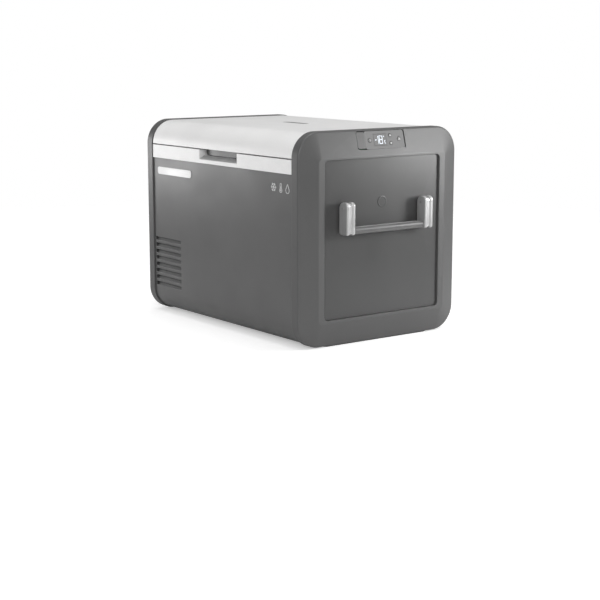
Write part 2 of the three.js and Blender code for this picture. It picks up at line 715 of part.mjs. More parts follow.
function fanShroud() {
  const { x, y, z, r } = FAN;
  let body = box(x - 60, x + 60, y - 12, y + 12, z - 62, z + 62).subtract(
    rod("y", r + 2, 60, [x, y, z], 28),
  );
  body = body
    .add(rod("y", 19, 4, [x, y + 10, z]))
    .add(box(x - 58, x + 58, y + 8.5, y + 11.5, z - 3, z + 3))
    .add(box(x - 3, x + 3, y + 8.5, y + 11.5, z - 60, z + 60));
  for (const side of [-1, 1]) {
    const at = x + side * 52;
    body = body.add(box(at - 8, at + 8, y + 1, y + 11, 11.1, z - 60));
  }
  return body;
}

function fanRotor() {
  const blades = 7;
  let body = rod("y", 20, 14, [0, 0, 0]);
  for (let i = 0; i < blades; i++) {
    const blade = new THREE.BoxGeometry(36, 2, 20);
    blade.rotateX(THREE.MathUtils.degToRad(32));
    blade.translate(34, 0, 0);
    blade.rotateY((i / blades) * 2 * Math.PI);
    body = body.add(solid(blade));
  }
  const mesh = part("fan_rotor", body, MAT.black);
  mesh.position.set(FAN.x, FAN.y - 3, FAN.z);
  return mesh;
}

function powerModule() {
  let body = box(-282, -162, 60, 100, 11.1, 111);
  for (let i = 0; i < 7; i++) {
    const z = 20 + i * 12.5;
    body = body.add(box(-276, -168, 99, 112, z, z + 3));
  }
  return body;
}

const DRIER = { x: -167, y: -14 };

// The cooling coil: from the drier, through the foam and round the well.
function evaporatorCoil() {
  const off = 7.5;
  const x0 = STEP_X - off;
  const x1 = TUB_X + off;
  const y = TUB_Y + off;
  const c = 16;
  const { x: dx, y: dy } = DRIER;
  const points = [V(dx, dy, 164), V(dx, dy, 172), V(dx + 6, dy, 177), V(x0 - 10, dy, 177)];
  const turns = 3;
  const drop = 33;
  const corners = [
    [x0, -30],
    [x0, -y + c],
    [x0 + c, -y],
    [x1 - c, -y],
    [x1, -y + c],
    [x1, y - c],
    [x1 - c, y],
    [x0 + c, y],
    [x0, y - c],
    [x0, 30],
  ];
  for (let i = 0; i < turns; i++) {
    const z = 174 - i * drop;
    corners.forEach(([px, py], k) => points.push(V(px, py, z - (drop * k) / corners.length)));
  }
  return solid(tube(points, 3.2, 110, 6, 0.12));
}

function dischargePipe() {
  const points = [V(-252, -42, 163), V(-256, -60, 172), V(-262, -110, 178), V(-262, -160, 178)];
  points.push(V(-262, -192, 178));
  return tube(points, 2.6, 14, 6);
}

// The drier and the line that feeds it from the condenser.
function filterDrier() {
  const profile = [[0, 46], [3, 46], [3, 56], [10, 66], [10, 140], [3, 150], [3, 163], [0, 163]];
  const lathe = new THREE.LatheGeometry(profile.map(([r, z]) => new THREE.Vector2(r, z)), 14);
  lathe.rotateX(Math.PI / 2);
  lathe.translate(DRIER.x, DRIER.y, 0);
  const line = [
    V(-158.6, -179, 62),
    V(-158.6, -120, 62),
    V(-158.6, -60, 44),
    V(-160, -30, 40),
    V(DRIER.x, DRIER.y, 41),
    V(DRIER.x, DRIER.y, 50),
  ];
  return solid(lathe).add(solid(tube(line, 2.2, 16, 6)));
}

// Mains and low-voltage sockets in one plate, drawn for the +X end.
function powerInlet() {
  const x1 = PANEL_FACE - 0.6;
  return extrudeX(roundRect(41, 119, 85, 125, 5), x1 - 22, x1, 4)
    .subtract(box(x1 - 16, x1 + 1, 50, 74, 97, 113))
    .subtract(box(x1 - 14, x1 + 1, 82, 98, 98, 112))
    .add(rod("x", 6.5, 3, [x1 + 0.5, 109, 105], 16));
}

// ---------- assembly ----------
const fridge = new THREE.Group();
fridge.name = "compressor_cooler";

fridge.add(
  part("cabinet_shell", cabinetShell(), MAT.slate),
  part("top_collar", topCollar(), MAT.light),
  part("latch_receiver", latchReceiver(), MAT.light),
  part("front_badge", frontBadge(), MAT.alloy),
  part("inner_liner", innerLiner(), MAT.liner),
  part("cabinet_foam", cabinetFoam(), MAT.foam),
  endAssembly("right"),
  endAssembly("left"),
  displayAssembly(),
);

fridge.add(
  part("lid_shell", lidShell(), MAT.light),
  part("lid_liner", lidLiner(), MAT.liner),
  part("lid_foam", lidFoam(), MAT.foam),
  part("lid_gasket", lidGasket(), MAT.rubber),
  hinge("left", -HINGE.x),
  hinge("right", HINGE.x),
);

const springMesh = part("latch_spring", latchSpring(), MAT.steel);
springMesh.position.set(21, LATCH.y, LATCH.z);
fridge.add(
  part("latch_paddle", latchPaddle(), MAT.panel),
  part("latch_claw", latchClaw(), MAT.steel),
  part("latch_pin", rod("x", 1.5, 156, [0, LATCH.y, LATCH.z], 12), MAT.steel),
  part("latch_strike", latchStrike(), MAT.steel),
  springMesh,
);

const plug = part("drain_plug", drainPlug(), MAT.black);
plug.position.x = DRAIN.x;
fridge.add(
  part("wire_basket", wireBasket(), MAT.wire),
  part("interior_light", box(TUB_X - 4, TUB_X - GAP, -30, 30, 384, 398), MAT.lamp),
  plug,
);

const pump = part("compressor", compressor(), MAT.black);
pump.position.set(-222, -60, 0);
const inlet = part("power_inlet", powerInlet(), MAT.black);
inlet.rotation.z = Math.PI;
fridge.add(
  pump,
  inlet,
  part("compressor_tray", compressorTray(), MAT.steel),
  part("condenser", condenser(), MAT.fins),
  part("fan_shroud", fanShroud(), MAT.black),
  fanRotor(),
  part("power_module", powerModule(), MAT.alloy),
  part("evaporator_coil", evaporatorCoil(), MAT.copper),
  part("discharge_pipe", dischargePipe(), MAT.copper),
  part("filter_drier", filterDrier(), MAT.copper),
);

export default fridge;
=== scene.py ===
import json
import math

import bmesh
import bpy
from mathutils import Matrix, Vector

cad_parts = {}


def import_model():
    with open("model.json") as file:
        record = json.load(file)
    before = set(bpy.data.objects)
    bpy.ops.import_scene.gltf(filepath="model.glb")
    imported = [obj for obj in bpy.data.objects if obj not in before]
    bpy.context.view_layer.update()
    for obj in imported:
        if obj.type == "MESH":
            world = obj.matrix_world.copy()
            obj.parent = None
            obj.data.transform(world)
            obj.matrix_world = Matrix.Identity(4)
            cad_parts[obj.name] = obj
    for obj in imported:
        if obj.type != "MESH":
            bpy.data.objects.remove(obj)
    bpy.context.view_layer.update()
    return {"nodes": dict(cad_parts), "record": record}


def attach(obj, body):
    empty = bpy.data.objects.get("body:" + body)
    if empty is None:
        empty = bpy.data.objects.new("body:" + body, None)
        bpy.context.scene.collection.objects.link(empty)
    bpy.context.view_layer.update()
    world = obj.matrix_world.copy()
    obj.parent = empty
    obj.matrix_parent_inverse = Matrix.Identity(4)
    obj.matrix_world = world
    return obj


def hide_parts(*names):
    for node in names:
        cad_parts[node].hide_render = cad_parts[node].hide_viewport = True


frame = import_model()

RECORD = frame["record"]
SLOT_OF = {s["node"]: s["material_slot"] for s in RECORD["subparts"]}
BODY_OF = {n: b for b, nodes in RECORD["behaviour"]["bodies"].items() for n in nodes}
MM = 0.001

# ---------- sizes in millimetres, as the CAD model has them ----------
HEIGHT, DEPTH, CORNER, FOOT_DROP = 480, 455, 58, 2
FRAME_IN, FRAME_OUT, BEVEL_OUT, PANEL_FACE, PANEL_BACK = 293, 317, 333, 327.5, 324.5
WINDOW = (166.5, 63, 417.7, 10)
CREST = (182.5, 56, 422, 10)
SHELL_Y, SHELL_WALL, SHELL_BOTTOM, SHELL_TOP = 223.5, 3, 5, 387.5
PIECE_GAP = 0.3  # between neighbouring parts
VENT_ROWS, VENT_Z, VENT_PITCH = 8, 72, 16.3  # slots in the front and back walls
END_SLOTS, END_SLOT_Z, END_SLOT_PITCH = 6, 150, 14  # slots in the left end panel
BAY_NEAR, BAY_FAR, BAY_CEILING, BAY_SHEET = -291.9, -153.9, 187.2, 0.5  # compressor bay lining
LID_HALF, LID_Y, LID_TOP, LID_Z0, LID_R, LID_WALL = 291.5, 225.5, 478, 422.2, 56, 3
PIVOT_X, PIVOT_Z, ARM_Y, ARM_WIDTH = 344.5, 311, 113, 24
TILT = math.atan2(BEVEL_OUT - FRAME_OUT, HEIGHT - CREST[2])
DISPLAY = Matrix((
    (0, -math.sin(TILT), math.cos(TILT), 323.5),
    (1, 0, 0, 0),
    (0, math.cos(TILT), math.sin(TILT), 456.5),
    (0, 0, 0, 1),
))
HALF_TURN = Matrix.Rotation(math.pi, 4, "Z")


# ---------- meshes ----------
def new_object(name, verts, faces):
    """A mesh object from points in millimetres."""
    mesh = bpy.data.meshes.new(name)
    mesh.from_pydata([(x * MM, y * MM, z * MM) for x, y, z in verts], [], faces)
    bm = bmesh.new()
    bm.from_mesh(mesh)
    bmesh.ops.recalc_face_normals(bm, faces=bm.faces)
    bm.to_mesh(mesh)
    bm.free()
    obj = bpy.data.objects.new(name, mesh)
    bpy.context.scene.collection.objects.link(obj)
    return obj


def baked(obj):
    """Applies the modifiers of an object to its mesh."""
    graph = bpy.context.evaluated_depsgraph_get()
    mesh = bpy.data.meshes.new_from_object(obj.evaluated_get(graph), depsgraph=graph)
    mesh.name = obj.name
    obj.modifiers.clear()
    obj.data = mesh
    return obj


def joined(objects):
    """Puts several objects into the first one."""
    first = objects[0]
    bm = bmesh.new()
    for obj in objects:
        bm.from_mesh(obj.data)
    bm.to_mesh(first.data)
    bm.free()
    for obj in objects[1:]:
        bpy.data.objects.remove(obj)
    return first


def merge_flat(obj, degrees=0.5):
    """Welds double points and joins faces that lie in one plane."""
    bm = bmesh.new()
    bm.from_mesh(obj.data)
    bmesh.ops.remove_doubles(bm, verts=bm.verts, dist=2e-6)
    bmesh.ops.dissolve_limit(
        bm, angle_limit=math.radians(degrees), verts=bm.verts, edges=bm.edges
    )
    bm.to_mesh(obj.data)
    bm.free()
    return obj


def cut(obj, tools, operation="DIFFERENCE"):
    tool = joined(tools)
    change = obj.modifiers.new("cut", "BOOLEAN")
    change.operation = operation
    change.solver = "EXACT"
    change.object = tool
    baked(obj)
    bpy.data.objects.remove(tool)
    return merge_flat(obj)


def shade(obj, sharp=35):
    """Smooth shading that keeps flat faces flat."""
    for polygon in obj.data.polygons:
        polygon.use_smooth = True
    obj.data.set_sharp_from_angle(angle=math.radians(sharp))
    normals = obj.modifiers.new("normals", "WEIGHTED_NORMAL")
    normals.keep_sharp = True
    return baked(obj)


def mark_wear(obj, width):
    """Stores how far a vertex lies inside a rounded edge, for the rubbed look of edges."""
    mesh = obj.data
    inside = [1.0] * len(mesh.vertices)
    for polygon in mesh.polygons:
        corners = [mesh.vertices[i].co for i in polygon.vertices]
        narrowest = min((a - b).length for a, b in zip(corners, corners[1:] + corners[:1]))
        if narrowest > 0.75 * width * MM:
            for i in polygon.vertices:
                inside[i] = 0.0
    layer = mesh.attributes.new("wear", "FLOAT", "POINT")
    layer.data.foreach_set("value", inside)


def soften(obj, width=0.6, segments=3, angle=30, sharp=35):
    """Rounds the edges of an object, width in millimetres."""
    bevel = obj.modifiers.new("edges", "BEVEL")
    bevel.width = width * MM
    bevel.segments = segments
    bevel.limit_method = "ANGLE"
    bevel.angle_limit = math.radians(angle)
    bevel.miter_outer = "MITER_ARC"
    baked(obj)
    mark_wear(obj, width)
    return shade(obj, sharp)


def rounded(a0, a1, b0, b1, r, steps=10):
    """A rounded rectangle as points, anticlockwise from the lower right corner."""
    points = []
    corners = ((a1 - r, b0 + r, -90), (a1 - r, b1 - r, 0), (a0 + r, b1 - r, 90), (a0 + r, b0 + r, 180))
    for ca, cb, start in corners:
        for i in range(steps + 1):
            t = math.radians(start + 90 * i / steps)
            points.append((ca + r * math.cos(t), cb + r * math.sin(t)))
    return points


def circle(a, b, r, steps=32):
    return [
        (a + r * math.cos(2 * math.pi * i / steps), b + r * math.sin(2 * math.pi * i / steps))
        for i in range(steps)
    ]


PLACE = {
    "x": lambda a, b, c: (c, a, b),
    "y": lambda a, b, c: (a, c, b),
    "z": lambda a, b, c: (a, b, c),
}


def prism(name, outline, axis, low, high):
    """A flat outline pushed along an axis."""
    n = len(outline)
    verts = [PLACE[axis](a, b, c) for c in (low, high) for a, b in outline]
    faces = [list(range(n)), list(range(n, 2 * n))]
    faces += [[i, (i + 1) % n, n + (i + 1) % n, n + i] for i in range(n)]
    return new_object(name, verts, faces)


def loft(name, loops, closed=True):
    """A skin through loops of the same number of points."""
    n = len(loops[0])
    verts = [p for loop in loops for p in loop]
    rows = len(loops) if closed else len(loops) - 1
    faces = []
    for k in range(rows):
        a, b = k * n, ((k + 1) % len(loops)) * n
        faces += [[a + i, a + (i + 1) % n, b + (i + 1) % n, b + i] for i in range(n)]
    if not closed:
        faces += [list(range(n)), list(range(len(verts) - n, len(verts)))]
    return new_object(name, verts, faces)


def lathe(name, profile, at, axis="z", steps=40):
    """A turned solid: the profile is (radius, height), from axis to axis."""
    loops = []
    for r, h in profile:
        r = max(r, 0.001)
        loops.append([
            tuple(x + o for x, o in zip(PLACE[axis](a, b, h), at)) for a, b in circle(0, 0, r, steps)
        ])
    return loft(name, loops, closed=False)


def fillet(rings, radii, steps=5):
    """Rounds the corners of a closed profile whose points are equal-length tuples."""
    out = []
    count = len(rings)
    for k, (point, radius) in enumerate(zip(rings, radii)):
        if radius == 0:
            out.append(point)
            continue
        ends = []
        for other in (rings[k - 1], rings[(k + 1) % count]):
            length = math.hypot(other[0] - point[0], other[1] - point[1])
            t = min(radius / length, 0.45)
            ends.append([p + t * (o - p) for p, o in zip(point, other)])
        for i in range(steps + 1):
            t = i / steps
            out.append(tuple(
                (1 - t) ** 2 * a + 2 * t * (1 - t) * p + t * t * c
                for a, p, c in zip(ends[0], point, ends[1])
            ))
    return out


def wires(name, paths, radius, cyclic=False, sides=3):
    """Round wires along paths, as one mesh."""
    curve = bpy.data.curves.new(name, "CURVE")
    curve.dimensions = "3D"
    curve.bevel_depth = radius * MM
    curve.bevel_resolution = sides
    curve.use_fill_caps = True
    for path in paths:
        spline = curve.splines.new("POLY")
        spline.points.add(len(path) - 1)
        for point, place in zip(spline.points, path):
            point.co = (place[0] * MM, place[1] * MM, place[2] * MM, 1)
        spline.use_cyclic_u = cyclic
    holder = bpy.data.objects.new(name + "_curve", curve)
    bpy.context.scene.collection.objects.link(holder)
    graph = bpy.context.evaluated_depsgraph_get()
    mesh = bpy.data.meshes.new_from_object(holder.evaluated_get(graph), depsgraph=graph)
    bpy.data.objects.remove(holder)
    obj = bpy.data.objects.new(name, mesh)
    bpy.context.scene.collection.objects.link(obj)
    return shade(obj, 50)


def bent(points, radius=10, steps=6, closed=False):
    """A path with rounded bends."""
    out = []
    count = len(points)
    for k, p in enumerate(points):
        if not closed and k in (0, count - 1):
            out.append(tuple(p))
            continue
        p, a, b = Vector(p), Vector(points[k - 1]), Vector(points[(k + 1) % count])
        start = p + (a - p).normalized() * min(radius, 0.45 * (a - p).length)
        end = p + (b - p).normalized() * min(radius, 0.45 * (b - p).length)
        for i in range(steps + 1):
            t = i / steps
            out.append(tuple((1 - t) ** 2 * start + 2 * t * (1 - t) * p + t * t * end))
    return out


# ---------- materials ----------
class Look:
    """A node material with helpers for its common parts."""

    def __init__(self, name):
        self.material = bpy.data.materials.new(name)
        self.material.use_nodes = True
        self.nodes = self.material.node_tree.nodes
        self.links = self.material.node_tree.links
        self.shader = self.nodes["Principled BSDF"]
        where = self.nodes.new("ShaderNodeTexCoord")
        self.place = where.outputs["Object"]
        self.facing = where.outputs["Normal"]

    def set(self, **values):
        for key, value in values.items():
            self.shader.inputs[key.replace("_", " ")].default_value = value

    def link(self, value, socket):
        self.links.new(value, self.shader.inputs[socket] if isinstance(socket, str) else socket)

    def noise(self, scale, detail=2.0, stretch=None, roughness=0.5):
        node = self.nodes.new("ShaderNodeTexNoise")
        node.inputs["Scale"].default_value = scale
        node.inputs["Detail"].default_value = detail
        node.inputs["Roughness"].default_value = roughness
        place = self.place
        if stretch:
            mapping = self.nodes.new("ShaderNodeMapping")
            mapping.inputs["Scale"].default_value = stretch
            self.links.new(place, mapping.inputs["Vector"])
            place = mapping.outputs["Vector"]
        self.links.new(place, node.inputs["Vector"])
        return node.outputs["Fac"]

    def cells(self, scale, feature="F1"):
        node = self.nodes.new("ShaderNodeTexVoronoi")
        node.feature = feature
        node.inputs["Scale"].default_value = scale
        self.links.new(self.place, node.inputs["Vector"])
        return node.outputs["Distance"]

    def spread(self, value, low, high, start=0.3, end=0.7):
        """The value, from start to end, spread over low to high."""
        node = self.nodes.new("ShaderNodeMapRange")
        for key, number in (("From Min", start), ("From Max", end), ("To Min", low), ("To Max", high)):
            node.inputs[key].default_value = number
        self.links.new(value, node.inputs["Value"])
        return node.outputs["Result"]

    def math(self, operation, a, b):
        node = self.nodes.new("ShaderNodeMath")
        node.operation = operation
        for socket, value in zip(node.inputs, (a, b)):
            if isinstance(value, (int, float)):
                socket.default_value = value
            else:
                self.links.new(value, socket)
        return node.outputs[0]

    def mix(self, factor, first, second):
        """A colour between two colours, each a colour or a socket."""
        node = self.nodes.new("ShaderNodeMix")
        node.data_type = "RGBA"
        self.links.new(factor, node.inputs["Factor"])
        for socket, value in ((node.inputs[6], first), (node.inputs[7], second)):
            if isinstance(value, tuple):
                socket.default_value = (*value, 1)
            else:
                self.links.new(value, socket)
        return node.outputs[2]

    def edges(self):
        """One along rounded edges where they are rubbed, zero on flats."""
        rubbed = self.nodes.new("ShaderNodeAttribute")
        rubbed.attribute_name = "wear"
        patches = self.spread(self.noise(45, 4), 0.25, 1, 0.4, 0.6)
        return self.math("MULTIPLY", rubbed.outputs["Fac"], patches)

    def upward(self):
        """One where a surface faces up at rest, zero on walls."""
        split = self.nodes.new("ShaderNodeSeparateXYZ")
        self.links.new(self.facing, split.inputs[0])
        return self.spread(split.outputs[2], 0, 1, 0.3, 1.0)

    def bump(self, *layers):
        """Bump from (height socket, distance in millimetres) layers."""
        previous = None
        for height, distance in layers:
            node = self.nodes.new("ShaderNodeBump")
            node.inputs["Strength"].default_value = 1
            node.inputs["Distance"].default_value = distance * MM
            self.links.new(height, node.inputs["Height"])
            if previous:
                self.links.new(previous, node.inputs["Normal"])
            previous = node.outputs["Normal"]
        self.links.new(previous, self.shader.inputs["Normal"])


def grey(value, warm=0.0):
    return (value * (1 + warm), value, value * (1 - warm))


def scaled(colour, k):
    return tuple(min(1, c * k) for c in colour)


def moulded(name, colour, roughness, grain=900, depth=0.05, wear=0.25, coat=0.0):
    """Moulded plastic with a fine grain, cloudy colour, rubbed edges and faint smears."""
    look = Look(name)
    cloud = look.noise(7, 3)
    fine = look.noise(grain, 3)
    tone = look.mix(look.spread(cloud, 0, 1, 0.15, 0.85), scaled(colour, 0.92), scaled(colour, 1.08))
    speck = look.mix(look.spread(fine, 0, 0.35, 0.35, 0.7), tone, scaled(colour, 1.25))
    rubbed = look.math("MULTIPLY", look.edges(), wear)
    look.link(look.mix(rubbed, speck, scaled(colour, 1.6)), "Base Color")
    smear = look.noise(16, 4, (1, 1, 0.35))
    rough = look.spread(smear, roughness - 0.05, roughness + 0.06, 0.15, 0.85)
    look.link(rough, "Roughness")
    look.set(Coat_Weight=coat, Coat_Roughness=0.25)
    look.bump((look.cells(grain), depth), (fine, depth * 0.6), (look.noise(5, 1), 0.25))
    return look.material


def painted(name, colour, roughness, metallic=0.0, peel=0.02, dust=0.15):
    """Powder coat: orange peel, small chips of tone on the edges and a little dust."""
    look = Look(name)
    cloud = look.noise(4, 3)
    tone = look.mix(look.spread(cloud, 0, 1), scaled(colour, 0.94), scaled(colour, 1.06))
    speck = look.spread(look.noise(2600, 2), 0, 0.5, 0.5, 0.75)
    tone = look.mix(speck, tone, scaled(colour, 1.35))
    tone = look.mix(look.math("MULTIPLY", look.edges(), 0.3), tone, scaled(colour, 1.8))
    settled = look.math("MULTIPLY", look.upward(), look.spread(look.noise(30, 4), 0, dust))
    look.link(look.mix(settled, tone, scaled(colour, 2.2)), "Base Color")
    look.link(look.spread(look.noise(12, 4), roughness - 0.06, roughness + 0.07), "Roughness")
    look.set(Metallic=metallic, Coat_Weight=0.15, Coat_Roughness=0.3)
    look.bump((look.noise(420, 2), peel), (look.noise(2600, 1), peel * 0.5), (look.noise(3, 1), 0.3))
    return look.material


def brushed(name, colour, roughness, stretch=(900, 900, 14), metallic=1.0, depth=0.015):
    """Metal with fine drawn lines and clouded polish."""
    look = Look(name)
    lines = look.noise(1, 3, stretch)
    tone = look.mix(look.spread(lines, 0, 1), scaled(colour, 0.88), scaled(colour, 1.05))
    tone = look.mix(look.math("MULTIPLY", look.edges(), 0.35), tone, scaled(colour, 1.25))
    look.link(tone, "Base Color")
    smear = look.spread(look.noise(20, 4), -0.05, 0.07)
    look.link(look.math("ADD", look.spread(lines, roughness - 0.05, roughness + 0.06), smear), "Roughness")
    look.set(Metallic=metallic)
    look.bump((lines, depth), (look.noise(8, 1), 0.15))
    return look.material


def rubbery(name, colour, roughness=0.75, grain=700, depth=0.06):
    """Soft rubber: pimpled, dull, lighter along its rubbed edges."""
    look = Look(name)
    tone = look.mix(look.spread(look.noise(22, 4), 0, 1), scaled(colour, 0.85), scaled(colour, 1.2))
    tone = look.mix(look.math("MULTIPLY", look.edges(), 0.3), tone, scaled(colour, 1.9))
    look.link(tone, "Base Color")
    look.link(look.spread(look.noise(40, 3), roughness - 0.08, roughness + 0.1), "Roughness")
    look.set(Sheen_Weight=0.25, Sheen_Roughness=0.5)
    look.bump((look.cells(grain), depth), (look.noise(60, 3), 0.08))
    return look.material


def glossy(name, colour, roughness=0.08, smear=0.12, coat=0.6, lift=1.5):
    """Polished plastic or glass with finger smears."""
    look = Look(name)
    marks = look.noise(38, 5, (1, 1.6, 0.8), 0.65)
    look.link(look.spread(marks, roughness, roughness + smear, 0.45, 0.75), "Roughness")
    look.link(look.mix(look.spread(marks, 0, 0.5, 0.45, 0.8), colour, scaled(colour, lift)), "Base Color")
    look.set(Coat_Weight=coat, Coat_Roughness=0.04, IOR=1.5)
    look.bump((look.noise(9, 1), 0.06))
    return look.material


def foamy(name, colour):
    look = Look(name)
    pores = look.cells(450)
    tone = look.mix(look.spread(pores, 0, 1, 0.0, 0.7), scaled(colour, 0.7), colour)
    look.link(look.mix(look.spread(look.noise(14, 4), 0, 0.6), tone, scaled(colour, 0.85)), "Base Color")
    look.link(look.spread(pores, 0.85, 0.98), "Roughness")
    look.bump((pores, 0.6), (look.noise(40, 4), 0.5))
    return look.material


def glowing(name, colour, strength):
    look = Look(name)
    look.link(look.mix(look.spread(look.noise(300, 2), 0, 0.3), colour, scaled(colour, 0.8)), "Base Color")
    look.set(Emission_Color=(*colour, 1), Emission_Strength=strength, Roughness=0.4)
    return look.material


LOOKS = {
    "slate_paint": painted("slate_paint", grey(0.076), 0.40),
    "frame_plastic": moulded("frame_plastic", grey(0.077), 0.42, 700, 0.05),
    "panel_plastic": moulded("panel_plastic", grey(0.053), 0.33, 1100, 0.03),
    "light_plastic": moulded("light_plastic", grey(0.74, 0.004), 0.38, 1000, 0.03, 0.1),
    "liner_plastic": glossy("liner_plastic", grey(0.76, -0.01), 0.24, 0.06, 0.1, 1.03),
    "foam": foamy("foam", (0.56, 0.51, 0.38)),
    "handle_alloy": brushed("handle_alloy", grey(0.5), 0.36, (900, 900, 16), 0.6),
    "badge_alloy": brushed("badge_alloy", grey(0.62), 0.42, (16, 900, 900), 0.35),
    "grip_plastic": rubbery("grip_plastic", grey(0.075), 0.38, 900, 0.02),
    "rubber": rubbery("rubber", grey(0.025)),
    "display_gloss": glossy("display_gloss", grey(0.012), 0.07, 0.1),
    "display_glass": glossy("display_glass", grey(0.006, -0.03), 0.04, 0.08),
    "button_plastic": moulded("button_plastic", grey(0.03), 0.35, 1500, 0.02),
    "circuit_board": painted("circuit_board", (0.02, 0.12, 0.045), 0.35),
    "steel": brushed("steel", grey(0.58), 0.3, (60, 900, 900)),
    "black_plastic": moulded("black_plastic", grey(0.022), 0.5, 800, 0.06),
    "compressor_paint": painted("compressor_paint", grey(0.018), 0.3),
    "fin_alloy": brushed("fin_alloy", grey(0.7), 0.35, (14, 700, 700)),
    "copper": brushed("copper", (0.72, 0.34, 0.2), 0.28, (500, 500, 500)),
    "wire_steel": brushed("wire_steel", grey(0.62), 0.3, (500, 500, 500)),
    "lamp_diffuser": glowing("lamp_diffuser", (0.9, 0.94, 1.0), 0.4),
    "mark_print": moulded("mark_print", grey(0.62), 0.4, 1500, 0.01, 0.0),
    "lit_segment": glowing("lit_segment", (0.85, 0.92, 1.0), 0.25),
    "vent_plastic": moulded("vent_plastic", grey(0.055), 0.6, 600, 0.05),
    # the scoop strip's darker grey is painted shade on the front slope of the latch scoop
    "scoop_painted_shade": rubbery("scoop_painted_shade", grey(0.3), 0.6, 900, 0.03),
}


# ---------- pieces ----------
def piece(obj, body, slot, nodes=(), look=None):
    """Gives a finished object its material, its body and the CAD nodes it stands for."""
    obj.data.materials.clear()
    obj.data.materials.append(LOOKS[look or slot])
    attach(obj, body)
    if nodes:
        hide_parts(*nodes)
    return obj


def stands_for(obj, node, look=None):
    return piece(obj, BODY_OF[node], SLOT_OF[node], (node,), look)


def refined(node, width=0.5, segments=2, angle=30):
    """A CAD node's own shape, with its edges rounded."""
    source = frame["nodes"][node]
    obj = bpy.data.objects.new(node + "_fine", source.data.copy())
    bpy.context.scene.collection.objects.link(obj)
    merge_flat(obj)
    soften(obj, width, segments, angle)
    return stands_for(obj, node)


def screw(name, at, axis, body, r=2.6, slot="steel"):
    """A low domed screw head with a hexagon socket, facing along an axis, such as "-y"."""
    profile = [(0, -0.5), (r, -0.5), (r, 0.35), (r * 0.9, 0.7), (r * 0.62, 0.9), (0, 0.95)]
    head = lathe(name, profile, (0, 0, 0), "z", 24)
    hexagon = [
        (r * 0.45 * math.cos(math.pi * i / 3), r * 0.45 * math.sin(math.pi * i / 3))
        for i in range(6)
    ]
    cut(head, [prism("socket", hexagon, "z", 0.1, 3)])
    turn = {
        "z": Matrix.Identity(4),
        "-z": Matrix.Rotation(math.pi, 4, "X"),
        "y": Matrix.Rotation(-math.pi / 2, 4, "X"),
        "-y": Matrix.Rotation(math.pi / 2, 4, "X"),
        "x": Matrix.Rotation(math.pi / 2, 4, "Y"),
        "-x": Matrix.Rotation(-math.pi / 2, 4, "Y"),
    }[axis]
    head.data.transform(Matrix.Translation(Vector(at) * MM) @ turn)
    shade(head, 30)
    return piece(head, body, slot)


# ---------- end frames and panels ----------
def corner_ring(ring, steps=26):
    x, y, z0, z1, r = ring
    return [(x, a, b) for a, b in rounded(-y, y, z0, z1, r, steps)]


def outline_ring(x, inset):
    return (x, DEPTH / 2 - inset, FOOT_DROP + inset, HEIGHT - inset, CORNER - inset)


def end_frame(name, has_display):
    rings = [
        outline_ring(FRAME_IN, 0),
        outline_ring(FRAME_OUT, 0),
        (BEVEL_OUT, *CREST),
        (BEVEL_OUT, *WINDOW),
        (PANEL_BACK - 3, *WINDOW),
        (PANEL_BACK - 3, 193.5, 38, 444, 30),
        outline_ring(FRAME_IN + 16, 10),
        outline_ring(FRAME_IN, 10),
    ]
    profile = fillet(rings, [1.6, 3.6, 2.2, 1.2, 0, 0, 0, 1.2], 5)
    obj = loft(name, [corner_ring(r) for r in profile])
    foot_socket = prism("socket", rounded(295.7, 314.3, -150.3, 150.3, 8, 6), "z", -1, 6.3)
    tools = [foot_socket]
    if has_display:
        pocket = prism("pocket", rounded(-70.3, 68.4, -21, 21, 5, 8), "z", -9, 9)
        pocket.data.transform(placed(DISPLAY))
        tools.append(pocket)
    cut(obj, tools)
    return soften(obj, 0.6, 3, 38, 30)


def placed(matrix):
    """A placing matrix with its shift in millimetres, for meshes in metres."""
    out = matrix.copy()
    out.translation *= MM
    return out


def turned(obj):
    obj.data.transform(HALF_TURN)
    return obj


def inner_cover(name):
    """The plate that closes an end frame towards the lid."""
    _, y, z0, z1, r = outline_ring(FRAME_IN, 10.4)
    obj = prism(name, rounded(-y, y, z0, z1, r, 16), "x", FRAME_IN + 0.4, FRAME_IN + 2)
    outline = rounded(-y - 5, y + 5, SHELL_TOP + 0.8, HEIGHT, 2, 4)
    above = prism("above", outline, "x", FRAME_IN - 5, FRAME_IN + 7)
    cut(obj, [above], "INTERSECT")
    return soften(obj, 0.4, 2, 38)


def end_panel(name, vented):
    y, z0, z1, r = WINDOW
    gap = PIECE_GAP
    outline = rounded(-y + gap, y - gap, z0 + gap, z1 - gap, r - gap, 10)
    obj = prism(name, outline, "x", PANEL_BACK, PANEL_FACE)
    tools = [
        prism("slot", rounded(s * ARM_Y - 5, s * ARM_Y + 5, 280, 316, 2.5, 5), "x", 320, 330)
        for s in (-1, 1)
    ]
    if vented:
        for i in range(END_SLOTS):
            z = END_SLOT_Z + i * END_SLOT_PITCH
            tools.append(prism("slot", rounded(-75, 75, z - 3.5, z + 3.5, 3.3, 6), "x", 320, 330))
        tools.append(prism("slot", rounded(40.7, 119.3, 84.7, 125.3, 5, 6), "x", 320, 330))
    cut(obj, tools)
    return soften(obj, 0.7, 3, 30)


for side, finish in (("right", lambda o: o), ("left", turned)):
    has_display = side == "right"
    stands_for(finish(end_frame("end_frame_fine_" + side, has_display)), "end_frame_" + side)
    stands_for(finish(end_panel("end_panel_fine_" + side, not has_display)), "end_panel_" + side)
    piece(finish(inner_cover("inner_cover_" + side)), "cabinet", "frame_plastic")
    profile = [(0, -0.5), (13, -0.5), (13, 0.5), (12.4, 0.8), (10.6, 0.8), (10, 0.35), (0, 0.35)]
    roundel = lathe("roundel_" + side, profile, (PANEL_FACE, 0, 318), "x", 48)
    piece(finish(shade(roundel)), "cabinet", "panel_plastic")


# ---------- handles ----------
def steps_of(degrees, count):
    return [math.radians(degrees * i / count) for i in range(count + 1)]


